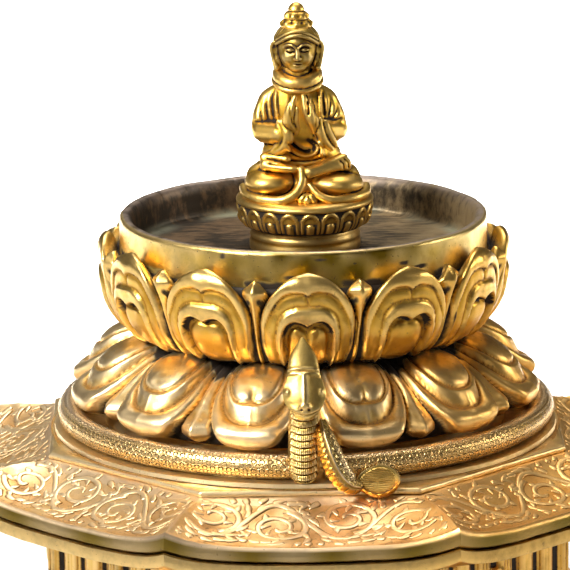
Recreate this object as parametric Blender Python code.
"""Gilt copper lotus stupa with its dome lifted off and a seated figure in the open drum.

The part stands on z = 0 with its axis on the origin. The front facet faces -Y.
"""

import math

import bmesh
import bpy
from mathutils import Matrix, Vector

# Gap kept between pieces that touch, and how deep one form of a panel sinks into the next
GAP = 0.0003
WELD = 0.001

# Throne, an eight-sided box; radii are taken at the corners of the octagon
SIDES = 8
BASE_PLATE_TOP = 0.0024
BASE_PLATE_RADIUS = 0.150
FOOT_RADIUS = 0.168
FOOT_TOP = 0.0085
LOWER_COVE_TOP = 0.026
WALL_RADIUS = 0.128
WALL_THICKNESS = 0.003
WALL_TOP = 0.0765
WALL_BAND_HEIGHT = 0.004
BAYS = 7
RIB_WIDTH = 0.0044
RIB_DEPTH = 0.0016
BOSS_RADIUS = 0.0125
BOSS_DEPTH = 0.0042
UPPER_COVE_TOP = 0.0812
UPPER_PLATE_TOP = 0.0878
EAVE_BOTTOM = 0.0886
EAVE_RADIUS = 0.168
CORNER_LIFT = 0.0062
LIFT_LENGTH = 0.016
THRONE_BORE = 0.118
PLATE_SEAM = 0.150
PLATFORM_RADIUS = 0.1265
PLATFORM_BOTTOM = 0.1081
PLATFORM_TOP = 0.1107
EAVE_BORE = 0.095
PLATFORM_BORE = 0.065

# Round pieces that stand on the throne
SEAT_RADIUS = 0.1155
SEAT_TOP = 0.1132
FOOT_BORE = 0.060
LOTUS_FOOT_RADIUS = 0.092
LOTUS_FOOT_TOP = 0.1224
LOTUS_BORE = 0.056
LOWER_LOTUS_TOP = 0.1540
WAIST_RADIUS = 0.066
WAIST_TOP = 0.1564
PETALS = 12
PETAL_COLUMNS = 10
PETAL_WIDTH = 0.93
BOWL_RADIUS = 0.084
BOWL_INNER_RADIUS = 0.0776
BOWL_CHAMFER = 0.002
BOWL_LIP = 0.0047
BOWL_BOTTOM = 0.1902
FLOOR_TOP = 0.1932
RIM_TOP = 0.210

# Snake that lies around the lotus
SNAKE_RING_RADIUS = 0.1085
SNAKE_RADIUS = 0.00565
SNAKE_HEIGHT = 0.1192
SNAKE_HALF_OPENING = math.radians(3.9)

# Seated figure
FIGURE_X = 0.0007
FIGURE_LEAN = math.radians(1.8)
PEDESTAL_FOOT_RADIUS = 0.025
PEDESTAL_FOOT_TOP = 0.2038
PEDESTAL_TOP = 0.2185
PEDESTAL_PETALS = 18
PEDESTAL_GROOVE = 0.0009
CHIN = 0.2754
CROWN = 0.2987

GILT = ((0.83, 0.60, 0.24), 0.28, 1.0)
WORN_GILT = ((0.80, 0.62, 0.40), 0.38, 1.0)
OLIVE_GILT = ((0.62, 0.47, 0.17), 0.34, 1.0)
BRIGHT_GILT = ((0.90, 0.66, 0.22), 0.22, 1.0)


def clear_scene():
    for item in list(bpy.data.objects):
        bpy.data.objects.remove(item, do_unlink=True)


def gilt_material(name, finish):
    colour, roughness, metallic = finish
    material = bpy.data.materials.new(name)
    material.use_nodes = True
    shader = material.node_tree.nodes["Principled BSDF"]
    shader.inputs["Base Color"].default_value = (*colour, 1.0)
    shader.inputs["Roughness"].default_value = roughness
    shader.inputs["Metallic"].default_value = metallic
    return material


def add_object(name, mesh, finish, crease=35.0):
    item = bpy.data.objects.new(name, mesh)
    bpy.context.scene.collection.objects.link(item)
    mesh.materials.clear()
    mesh.materials.append(gilt_material(name + "_finish", finish))
    mesh.shade_smooth()
    mesh.set_sharp_from_angle(angle=math.radians(crease))
    return item


def mesh_from(name, points, faces):
    mesh = bpy.data.meshes.new(name)
    mesh.from_pydata(points, [], faces)
    shape = bmesh.new()
    shape.from_mesh(mesh)
    bmesh.ops.recalc_face_normals(shape, faces=shape.faces[:])
    shape.to_mesh(mesh)
    shape.free()
    return mesh


def closed_ring(name, rows, finish, crease=35.0):
    """A ring: every row is a closed loop of points, and the last row joins the first."""
    columns = len(rows[0])
    points = [point for row in rows for point in row]
    faces = []
    for i in range(len(rows)):
        j = (i + 1) % len(rows)
        for k in range(columns):
            m = (k + 1) % columns
            quad = (i * columns + k, i * columns + m, j * columns + m, j * columns + k)
            faces += split_at_top(points, quad)
    return add_object(name, mesh_from(name, points, faces), finish, crease)


def split_at_top(points, quad):
    """Two triangles that share the quad's highest point, so that facing sheets crease alike."""
    top = max(range(4), key=lambda corner: round(points[quad[corner]][2], 6))
    a, b, c, d = quad[top:] + quad[:top]
    return [(a, b, c), (a, c, d)]


def capped_loft(name, rows, finish, crease=35.0):
    """A solid lofted through closed loops of points, with a flat face on each end."""
    columns = len(rows[0])
    points = [point for row in rows for point in row]
    faces = [tuple(range(columns - 1, -1, -1))]
    for i in range(len(rows) - 1):
        for k in range(columns):
            m = (k + 1) % columns
            low = i * columns
            high = low + columns
            faces.append((low + k, low + m, high + m, high + k))
    last = (len(rows) - 1) * columns
    faces.append(tuple(range(last, last + columns)))
    return add_object(name, mesh_from(name, points, faces), finish, crease)


def circle_row(radius, z, columns):
    step = math.tau / columns
    return [(radius * math.sin(k * step), -radius * math.cos(k * step), z) for k in range(columns)]


# Eight-sided pieces

def corner_direction(index):
    angle = math.radians(-90 + 180 / SIDES) + index * math.tau / SIDES
    return Vector((math.cos(angle), math.sin(angle)))


def octagon_columns(splits):
    """Points round an octagon of unit corner radius, each with its share of the corner lift."""
    side = 2 * EAVE_RADIUS * math.sin(math.pi / SIDES)
    columns = []
    for index in range(SIDES):
        start = corner_direction(index)
        end = corner_direction(index + 1)
        for share in splits:
            reach = min(share, 1 - share) * side
            lift = math.exp(-reach / LIFT_LENGTH)
            columns.append((start.lerp(end, share), lift))
    return columns


def octagon_ring(name, section, finish, splits=(0.0,)):
    """A ring from a section of (corner radius, height, lift at the corners)."""
    columns = octagon_columns(splits)
    rows = []
    for radius, z, lift in section:
        rows.append([(radius * way.x, radius * way.y, z + lift * share) for way, share in columns])
    return closed_ring(name, rows, finish)


def build_throne_rings():
    """The throne's mouldings: radius, height and how far the corners rise above that height."""
    curled = (0.0, 0.035, 0.08, 0.14, 0.22, 0.34, 0.5, 0.66, 0.78, 0.86, 0.92, 0.965)
    edge = 0.001
    capped_loft("base_plate", [octagon_outline(BASE_PLATE_RADIUS, 0.0),
                               octagon_outline(BASE_PLATE_RADIUS, BASE_PLATE_TOP)], WORN_GILT)
    rebate = BASE_PLATE_RADIUS + GAP
    ledge = BASE_PLATE_TOP + GAP
    octagon_ring("foot_plate", [
        (FOOT_RADIUS, 0, 0), (FOOT_RADIUS, FOOT_TOP - edge, 0), (FOOT_RADIUS - edge, FOOT_TOP, 0),
        (THRONE_BORE, FOOT_TOP, 0), (THRONE_BORE, ledge, 0), (rebate, ledge, 0), (rebate, 0, 0)], WORN_GILT)

    cove_radius = WALL_RADIUS + 0.0035
    low = FOOT_TOP + GAP
    octagon_ring("lower_cove", [
        (0.160, low, 0), (0.161, low + 0.0035, 0), (0.1575, low + 0.0055, 0), (0.148, low + 0.0075, 0),
        (0.139, low + 0.0115, 0), (cove_radius + 0.002, LOWER_COVE_TOP - 0.0015, 0),
        (cove_radius, LOWER_COVE_TOP, 0), (THRONE_BORE, LOWER_COVE_TOP, 0), (THRONE_BORE, low, 0)], WORN_GILT)
    low = WALL_TOP + GAP
    octagon_ring("upper_cove", [
        (cove_radius, low, 0), (0.1345, low + 0.0014, 0), (0.142, low + 0.0026, 0),
        (PLATE_SEAM, UPPER_COVE_TOP, 0), (THRONE_BORE, UPPER_COVE_TOP, 0), (THRONE_BORE, low, 0)], GILT)

    lip = EAVE_RADIUS - 0.0012
    low = UPPER_COVE_TOP + GAP
    octagon_ring("upper_plate", [
        (PLATE_SEAM + 0.002, low, 0), (lip, low, CORNER_LIFT), (EAVE_RADIUS, low + edge, CORNER_LIFT),
        (EAVE_RADIUS, UPPER_PLATE_TOP - edge, CORNER_LIFT), (lip, UPPER_PLATE_TOP, CORNER_LIFT),
        (PLATE_SEAM, UPPER_PLATE_TOP, 0), (THRONE_BORE, UPPER_PLATE_TOP, 0), (THRONE_BORE, low, 0)],
        GILT, curled)
    low = UPPER_PLATE_TOP + GAP
    top = PLATFORM_BOTTOM - GAP
    octagon_ring("eave", [
        (PLATE_SEAM, low, 0), (lip, EAVE_BOTTOM, CORNER_LIFT), (EAVE_RADIUS, 0.0892, 0.0064),
        (EAVE_RADIUS - 0.0006, 0.0904, 0.0070), (0.161, 0.0927, 0.0088), (0.155, 0.0938, 0.0096),
        (0.146, 0.0974, 0.0085), (0.136, 0.1026, 0.0045), (0.129, top - 0.0006, 0.0004),
        (0.127, top, 0), (EAVE_BORE, top, 0), (EAVE_BORE, low, 0)], WORN_GILT, curled)
    octagon_ring("platform", [
        (PLATFORM_RADIUS - edge, PLATFORM_BOTTOM, 0), (PLATFORM_RADIUS, PLATFORM_BOTTOM + edge, 0),
        (PLATFORM_RADIUS, PLATFORM_TOP - edge, 0), (PLATFORM_RADIUS - edge, PLATFORM_TOP, 0),
        (PLATFORM_BORE, PLATFORM_TOP, 0), (PLATFORM_BORE, PLATFORM_BOTTOM, 0)], WORN_GILT)


def octagon_outline(radius, z):
    return [(*(corner_direction(k) * radius), z) for k in range(SIDES)]


# Wall panels

def box_mesh(shape, low, high):
    corners = [shape.verts.new((x, y, z)) for z in (low[2], high[2])
               for x, y in ((low[0], low[1]), (high[0], low[1]), (high[0], high[1]), (low[0], high[1]))]
    for face in ((3, 2, 1, 0), (4, 5, 6, 7), (0, 1, 5, 4), (1, 2, 6, 5), (2, 3, 7, 6), (3, 0, 4, 7)):
        shape.faces.new([corners[k] for k in face])


def panel_relief():
    """Ribs, plain bands and the middle boss of one facet, as one joined cutter mesh."""
    outer = WALL_RADIUS * math.cos(math.pi / SIDES)
    width = 2 * WALL_RADIUS * math.sin(math.pi / SIDES)
    face = -outer + RIB_DEPTH
    low = LOWER_COVE_TOP + GAP
    shape = bmesh.new()
    for index in range(1, BAYS):
        x = (index / BAYS - 0.5) * width
        if abs(x) < BOSS_RADIUS:
            continue
        near = (x - RIB_WIDTH / 2, -outer, low + WELD)
        far = (x + RIB_WIDTH / 2, face + WELD, WALL_TOP - WELD)
        box_mesh(shape, near, far)
    joined = bpy.data.meshes.new("relief")
    shape.to_mesh(joined)
    shape.free()
    return joined


def mitred_slab(low, high, front, back):
    """A plank of one facet with mitred ends, between two heights and two distances from the axis."""
    half = math.tan(math.pi / SIDES)
    trim = GAP / 2 / math.cos(math.pi / SIDES)
    rows = []
    for z in (low, high):
        rows.append([(-front * half + trim, -front, z), (front * half - trim, -front, z),
                     (back * half - trim, -back, z), (-back * half + trim, -back, z)])
    return rows


def build_walls():
    outer = WALL_RADIUS * math.cos(math.pi / SIDES)
    low = LOWER_COVE_TOP + GAP
    face = outer - RIB_DEPTH
    panel = capped_loft("wall_front", mitred_slab(low, WALL_TOP, face, face - WALL_THICKNESS), GILT)
    bands = []
    for start, end in ((low, low + WALL_BAND_HEIGHT), (WALL_TOP - WALL_BAND_HEIGHT, WALL_TOP)):
        bands.append(capped_loft("band", mitred_slab(start, end, outer, face - WELD), GILT))
    ribs = bpy.data.objects.new("ribs", panel_relief())
    bpy.context.scene.collection.objects.link(ribs)
    boss = boss_object(outer, (low + WALL_TOP) / 2)
    for cutter in (*bands, ribs, boss):
        join = panel.modifiers.new("join", "BOOLEAN")
        join.operation = "UNION"
        join.object = cutter
    whole = bpy.data.meshes.new_from_object(panel.evaluated_get(bpy.context.evaluated_depsgraph_get()))
    panel.modifiers.clear()
    for cutter in (*bands, ribs, boss):
        bpy.data.objects.remove(cutter, do_unlink=True)
    panel.data = whole
    names = ("wall_front", "wall_front_right", "wall_right", "wall_back_right",
             "wall_back", "wall_back_left", "wall_left", "wall_front_left")
    for index, name in enumerate(names):
        item = panel if index == 0 else bpy.data.objects.new(name, whole)
        if index:
            bpy.context.scene.collection.objects.link(item)
        item.rotation_euler.z = index * math.tau / SIDES


def boss_object(outer, z):
    """A domed round boss, its axis along Y, that sinks into the panel."""
    dish = RIB_DEPTH + WELD
    profile = ((1.0, -WELD), (1.0, RIB_DEPTH), (0.9, dish), (0.62, dish), (0.5, BOSS_DEPTH),
               (0.2, BOSS_DEPTH + WELD))
    rows = []
    for share, depth in profile:
        circle = circle_row(BOSS_RADIUS * share, 0, 20)
        rows.append([(x, -outer + RIB_DEPTH - depth, z - y) for x, y, _ in circle])
    return capped_loft("boss", rows, GILT)


# Lotus rings: each has a section over the petals and one along the grooves between them

UPPER_CROWN = ((0.0849, 0.2020), (0.0882, 0.2010), (0.0918, 0.1978), (0.0931, 0.1925), (0.0935, 0.1860),
               (0.0929, 0.1790), (0.0898, 0.1708), (0.0848, 0.1645), (0.0798, 0.1598), (0.0750, 0.1567))
UPPER_GROOVE = ((0.0849, 0.1965), (0.0862, 0.1945), (0.0874, 0.1920), (0.0884, 0.1885), (0.0884, 0.1835),
                (0.0874, 0.1775), (0.0846, 0.1702), (0.0800, 0.1642), (0.0756, 0.1597), (0.0716, 0.1567))
LOWER_CROWN = ((0.0690, 0.1540), (0.0795, 0.1540), (0.0900, 0.1513), (0.0985, 0.1462), (0.1035, 0.1403),
               (0.1058, 0.1348), (0.1060, 0.1298), (0.1038, 0.1257), (0.0998, 0.1232), (0.0950, 0.1227))
LOWER_GROOVE = ((0.0680, 0.1540), (0.0740, 0.1518), (0.0810, 0.1480), (0.0870, 0.1430), (0.0910, 0.1378),
                (0.0930, 0.1330), (0.0935, 0.1292), (0.0935, 0.1262), (0.0930, 0.1240), (0.0920, 0.1227))
TIP_LENGTH = 0.42
BLUNT_TIP = 0.08
GROOVE_SLOPE = 0.16
PETAL_CROWN = 0.16


def petal_share(turn, low):
    """How far a petal stands out: 1 on the petal, 0 in the groove beside it.

    turn runs from -1 to 1 across one petal's pitch, low from 0 at the tip to 1 at the root.
    """
    tip = math.sqrt(max(0.0, 1 - (1 - min(1.0, low / TIP_LENGTH)) ** 2))
    reach = PETAL_WIDTH * (BLUNT_TIP + (1 - BLUNT_TIP) * tip)
    edge = (reach - abs(turn)) / GROOVE_SLOPE
    return max(0.0, min(1.0, edge)) * (1 - PETAL_CROWN * turn * turn)


def lotus_rows(crown, groove, turn_offset, tip_first):
    """Rows of a petal ring between the section over the petals and the one along the grooves."""
    columns = PETALS * PETAL_COLUMNS
    rows = []
    for index, (high, low) in enumerate(zip(crown, groove)):
        along = index / (len(crown) - 1)
        depth = along if tip_first else 1 - along
        row = []
        for k in range(columns):
            turn = ((k / PETAL_COLUMNS + turn_offset + 0.5) % 1.0 - 0.5) * 2
            share = petal_share(turn, depth)
            radius = low[0] + (high[0] - low[0]) * share
            z = low[1] + (high[1] - low[1]) * share
            angle = k / columns * math.tau
            row.append((radius * math.sin(angle), -radius * math.cos(angle), z))
        rows.append(row)
    return rows


def build_lotus():
    columns = PETALS * PETAL_COLUMNS
    under_bowl = BOWL_BOTTOM - GAP
    rows = [circle_row(BOWL_RADIUS + GAP, under_bowl, columns)]
    rows += lotus_rows(UPPER_CROWN, UPPER_GROOVE, 0.0, True)
    rows.append(circle_row(LOTUS_BORE, WAIST_TOP + GAP, columns))
    rows.append(circle_row(LOTUS_BORE + 0.012, under_bowl, columns))
    closed_ring("upper_lotus", rows, OLIVE_GILT, 50)

    rows = lotus_rows(LOWER_CROWN, LOWER_GROOVE, 0.5, False)
    rows.append(circle_row(LOTUS_BORE, LOTUS_FOOT_TOP + GAP, columns))
    rows.append(circle_row(LOTUS_BORE, LOWER_LOTUS_TOP, columns))
    closed_ring("lower_lotus", rows, WORN_GILT, 50)


def build_round_pieces():
    columns = 48
    low = PLATFORM_TOP + GAP
    bevel = 0.0008
    closed_ring("snake_seat", [circle_row(r, z, columns) for r, z in (
        (SEAT_RADIUS - bevel, low), (SEAT_RADIUS, low + bevel), (SEAT_RADIUS, SEAT_TOP - bevel),
        (SEAT_RADIUS - bevel, SEAT_TOP), (FOOT_BORE, SEAT_TOP), (FOOT_BORE, low))], WORN_GILT)
    low = SEAT_TOP + GAP
    closed_ring("lotus_foot", [circle_row(r, z, columns) for r, z in (
        (LOTUS_FOOT_RADIUS, low), (LOTUS_FOOT_RADIUS, LOTUS_FOOT_TOP),
        (FOOT_BORE, LOTUS_FOOT_TOP), (FOOT_BORE, low))], OLIVE_GILT)
    low = LOWER_LOTUS_TOP + GAP
    middle = (low + WAIST_TOP) / 2
    bore = LOTUS_BORE - 0.006
    closed_ring("lotus_waist", [circle_row(r, z, columns) for r, z in (
        (WAIST_RADIUS - bevel, low), (WAIST_RADIUS, middle), (WAIST_RADIUS - bevel, WAIST_TOP),
        (bore, WAIST_TOP), (bore, low))], OLIVE_GILT)
    build_bowl()


def build_bowl():
    """A flat-bottomed drum with a rolled lip, turned from one outline."""
    columns = 56
    arc_steps = 5
    roll = BOWL_LIP / 2
    lip = RIM_TOP - roll
    outline = [(BOWL_RADIUS - BOWL_CHAMFER, BOWL_BOTTOM), (BOWL_RADIUS, BOWL_BOTTOM + BOWL_CHAMFER)]
    for step in range(arc_steps + 1):
        angle = math.pi * step / arc_steps
        outline.append((BOWL_RADIUS - roll + roll * math.cos(angle), lip + roll * math.sin(angle)))
    outline += [(BOWL_INNER_RADIUS, lip - 0.004), (BOWL_INNER_RADIUS, FLOOR_TOP + BOWL_CHAMFER),
                (BOWL_INNER_RADIUS - BOWL_CHAMFER, FLOOR_TOP)]
    capped_loft("bowl", [circle_row(r, z, columns) for r, z in outline], OLIVE_GILT, 50)


# Snake

def tube(name, path, radii, sides, finish, flat=1.0, up=Vector((0, 0, 1))):
    """A tube round a list of points, with a radius at each and flat ends."""
    rows = []
    for index, here in enumerate(path):
        before = path[max(0, index - 1)]
        after = path[min(len(path) - 1, index + 1)]
        along = (after - before).normalized()
        side = along.cross(up).normalized()
        lift = side.cross(along).normalized()
        row = []
        for k in range(sides):
            angle = math.tau * k / sides
            offset = side * math.cos(angle) * radii[index] + lift * math.sin(angle) * radii[index] * flat
            row.append(tuple(here + offset))
        rows.append(row)
    return capped_loft(name, rows, finish, 60)


def smooth_path(points, count):
    """Points evenly spread on a smooth curve through the given ones."""
    ends = [2 * points[0] - points[1], *points, 2 * points[-1] - points[-2]]
    path = []
    for index in range(count):
        place = index / (count - 1) * (len(points) - 1)
        k = min(int(place), len(points) - 2)
        t = place - k
        a, b, c, d = ends[k:k + 4]
        path.append(0.5 * (2 * b + (c - a) * t + (2 * a - 5 * b + 4 * c - d) * t ** 2
                           + (3 * b - a - 3 * c + d) * t ** 3))
    return path


def spread(values, count):
    result = []
    for index in range(count):
        place = index / (count - 1) * (len(values) - 1)
        k = min(int(place), len(values) - 2)
        result.append(values[k] + (values[k + 1] - values[k]) * (place - k))
    return result


def build_snake():
    steps = 60
    turn = math.tau - 2 * SNAKE_HALF_OPENING
    path = []
    for index in range(steps + 1):
        angle = SNAKE_HALF_OPENING + turn * index / steps
        path.append(Vector((math.sin(angle), -math.cos(angle), 0)) * SNAKE_RING_RADIUS
                    + Vector((0, 0, SNAKE_HEIGHT)))
    tube("snake_body", path, [SNAKE_RADIUS] * len(path), 8, GILT)

    back = Vector((0, 1, 0))
    steps = 12
    neck = smooth_path([Vector((0.0002, -0.1104, SEAT_TOP + GAP)), Vector((0.0002, -0.1104, 0.1190)),
                        Vector((0.0001, -0.1108, 0.1320)), Vector((-0.0002, -0.1106, 0.1440)),
                        Vector((-0.0003, -0.1118, 0.1522)), Vector((-0.0004, -0.1145, 0.1562))], steps)
    girth = spread([0.0056, 0.0060, 0.0061, 0.0060, 0.0056, 0.0046], steps)
    tube("snake_neck", neck, girth, 12, GILT, 0.78, back)

    head = [Vector((-0.0010, -0.1046, 0.1785)), Vector((-0.0010, -0.1075, 0.1730)),
            Vector((-0.0008, -0.1108, 0.1680)), Vector((-0.0006, -0.1148, 0.1632)),
            Vector((-0.0004, -0.1192, 0.1568)), Vector((-0.0004, -0.1220, 0.1514)),
            Vector((-0.0004, -0.1236, 0.1472))]
    girth = [0.0008, 0.0036, 0.0066, 0.0080, 0.0092, 0.0066, 0.0028]
    tube("snake_head", head, girth, 10, BRIGHT_GILT, 0.36, back)

    tail = smooth_path([Vector((0.0079, -0.1132, 0.1388)), Vector((0.0094, -0.1178, 0.1310)),
                        Vector((0.0134, -0.1206, 0.1225)), Vector((0.0184, -0.1216, 0.1160)),
                        Vector((0.0232, -0.1198, 0.1130))], steps)
    girth = spread([0.0022, 0.0032, 0.0042, 0.0042, 0.0030], steps)
    tube("snake_tail", tail, girth, 8, GILT, 0.85, back)
    build_tail_leaf()


def build_tail_leaf():
    centre = Vector((0.0345, -0.1160, 0.1143))
    tilt = Matrix.Rotation(math.radians(54), 3, "X")
    rows = []
    for share, rise in ((0.75, -0.0014), (1.0, -0.0006), (1.0, 0.0004), (0.7, 0.0013)):
        row = []
        for x, y, _ in circle_row(1.0, 0, 20):
            flat = Vector((0.0102 * x * share, 0.0074 * y * share, rise))
            row.append(tuple(centre + tilt @ flat))
        rows.append(row)
    capped_loft("snake_tail_leaf", rows, GILT, 50)


# Seated figure and its lotus pedestal

def build_pedestal():
    columns = 36
    low = FLOOR_TOP + GAP
    rows = [circle_row(r, z, columns) for r, z in (
        (0.0242, low), (PEDESTAL_FOOT_RADIUS, low + 0.0012), (0.0252, PEDESTAL_FOOT_TOP - 0.0042),
        (0.0240, PEDESTAL_FOOT_TOP - 0.0030), (0.0243, PEDESTAL_FOOT_TOP))]
    capped_loft("pedestal_foot", rows, BRIGHT_GILT).location.x = FIGURE_X
    columns = PEDESTAL_PETALS * 4
    low = PEDESTAL_FOOT_TOP + GAP
    ridge = [(0.0262, low), (0.0285, 0.2065), (0.0303, 0.2095), (0.0312, 0.2125),
             (0.0310, 0.2152), (0.0300, 0.2166)]
    rows = []
    for index, (radius, z) in enumerate(ridge):
        row = []
        for k in range(columns):
            angle = math.tau * k / columns
            in_groove = k % 4 == 2 and 0 < index < len(ridge) - 1
            reach = radius - PEDESTAL_GROOVE if in_groove else radius
            row.append((reach * math.sin(angle), -reach * math.cos(angle), z))
        rows.append(row)
    rows.append(circle_row(0.0292, PEDESTAL_TOP, columns))
    capped_loft("pedestal_lotus", rows, BRIGHT_GILT, 50).location.x = FIGURE_X


def ball(shape, centre, size, turn=(0, 0, 0), segments=20, rings=12):
    matrix = Matrix.Translation(centre)
    for axis, degrees in zip("XYZ", turn):
        matrix = matrix @ Matrix.Rotation(math.radians(degrees), 4, axis)
    matrix = matrix @ Matrix.Diagonal((*size, 1))
    bmesh.ops.create_uvsphere(shape, u_segments=segments, v_segments=rings, radius=1, matrix=matrix)


def limb(shape, start, end, first, last):
    """A tapered rod with round ends."""
    start = Vector(start)
    end = Vector(end)
    steps = 7
    for index in range(steps + 1):
        share = index / steps
        radius = first + (last - first) * share
        ball(shape, start.lerp(end, share), (radius, radius, radius), segments=14, rings=9)


def cast_solid(name, shape, voxel, share):
    """One skin over overlapping balls, with few faces."""
    mesh = bpy.data.meshes.new(name)
    shape.to_mesh(mesh)
    shape.free()
    item = bpy.data.objects.new(name, mesh)
    bpy.context.scene.collection.objects.link(item)
    skin = item.modifiers.new("skin", "REMESH")
    skin.mode = "VOXEL"
    skin.voxel_size = voxel
    ease = item.modifiers.new("ease", "SMOOTH")
    ease.iterations = 3
    thin = item.modifiers.new("thin", "DECIMATE")
    thin.ratio = share
    whole = bpy.data.meshes.new_from_object(item.evaluated_get(bpy.context.evaluated_depsgraph_get()))
    bpy.data.objects.remove(item, do_unlink=True)
    return add_object(name, whole, BRIGHT_GILT, 60)


def cut_below(item, height):
    """Ends a solid in a flat face at the given height."""
    shape = bmesh.new()
    shape.from_mesh(item.data)
    geometry = shape.verts[:] + shape.edges[:] + shape.faces[:]
    bmesh.ops.bisect_plane(shape, geom=geometry, plane_co=(0, 0, height), plane_no=(0, 0, 1),
                           clear_inner=True)
    rim = [edge for edge in shape.edges if edge.is_boundary]
    bmesh.ops.holes_fill(shape, edges=rim)
    bmesh.ops.recalc_face_normals(shape, faces=shape.faces[:])
    shape.to_mesh(item.data)
    shape.free()


def build_figure():
    """A figure that sits with crossed legs and joined palms: lap, legs, arms, trunk and neck."""
    shape = bmesh.new()
    ball(shape, (0, 0.004, 0.2235), (0.0225, 0.0165, 0.0085))
    for side in (-1, 1):
        limb(shape, (side * 0.010, 0.002, 0.2275), (side * 0.0208, -0.0085, 0.2258), 0.0085, 0.0070)
        limb(shape, (side * 0.0208, -0.0100, 0.2250), (-side * 0.0050, -0.0170, 0.2262), 0.0070, 0.0052)
        limb(shape, (side * 0.0132, 0.0030, 0.2655), (side * 0.0164, 0.0000, 0.2500), 0.0054, 0.0056)
        limb(shape, (side * 0.0164, -0.0010, 0.2490), (side * 0.0052, -0.0125, 0.2528), 0.0054, 0.0040)
        limb(shape, (side * 0.0030, -0.0150, 0.2510), (side * 0.0012, -0.0152, 0.2640), 0.0030, 0.0016)
    ball(shape, (0, -0.0140, 0.2245), (0.0240, 0.0100, 0.0062))
    ball(shape, (0, 0.0030, 0.2400), (0.0128, 0.0098, 0.0140))
    ball(shape, (0, 0.0030, 0.2560), (0.0146, 0.0096, 0.0155))
    ball(shape, (0, 0.0035, 0.2662), (0.0145, 0.0078, 0.0056))
    limb(shape, (0, 0.0030, 0.2680), (0, 0.0024, 0.2750), 0.0072, 0.0058)
    body = cast_solid("figure_body", shape, 0.0013, 0.12)
    cut_below(body, PEDESTAL_TOP + GAP)
    cut_above(body, CHIN)

    shape = bmesh.new()
    ball(shape, (0, 0.0015, 0.2858), (0.0090, 0.0098, 0.0108))
    ball(shape, (0, -0.0012, 0.2812), (0.0072, 0.0078, 0.0076))
    ball(shape, (0, 0.0030, 0.2905), (0.0104, 0.0104, 0.0076))
    ball(shape, (0, -0.0090, 0.2822), (0.0012, 0.0018, 0.0022))
    for side in (-1, 1):
        ball(shape, (side * 0.0096, 0.0020, 0.2808), (0.0012, 0.0020, 0.0052))
    head = cast_solid("figure_head", shape, 0.0009, 0.13)
    cut_below(head, CHIN + GAP)
    cut_above(head, CROWN)

    shape = bmesh.new()
    ball(shape, (0, 0.0024, 0.3012), (0.0048, 0.0048, 0.0026))
    ball(shape, (0, 0.0024, 0.3036), (0.0030, 0.0030, 0.0030))
    topknot = cast_solid("figure_topknot", shape, 0.0007, 0.20)
    cut_below(topknot, CROWN + GAP)
    for item in (body, head, topknot):
        item.data.transform(figure_lean())
        item.location.x = FIGURE_X


def cut_above(item, height):
    """Ends a solid in a flat face below the given height."""
    flip = Matrix.Diagonal((1, 1, -1, 1))
    item.data.transform(flip)
    item.data.flip_normals()
    cut_below(item, -height)
    item.data.transform(flip)
    item.data.flip_normals()


def figure_lean():
    """The figure leans a little to the left as seen from the front, over a level seat."""
    shear = Matrix.Identity(4)
    shear[0][2] = -math.tan(FIGURE_LEAN)
    shear[0][3] = math.tan(FIGURE_LEAN) * PEDESTAL_TOP
    return shear


def main():
    clear_scene()
    build_throne_rings()
    build_walls()
    build_round_pieces()
    build_lotus()
    build_snake()
    build_pedestal()
    build_figure()


main()
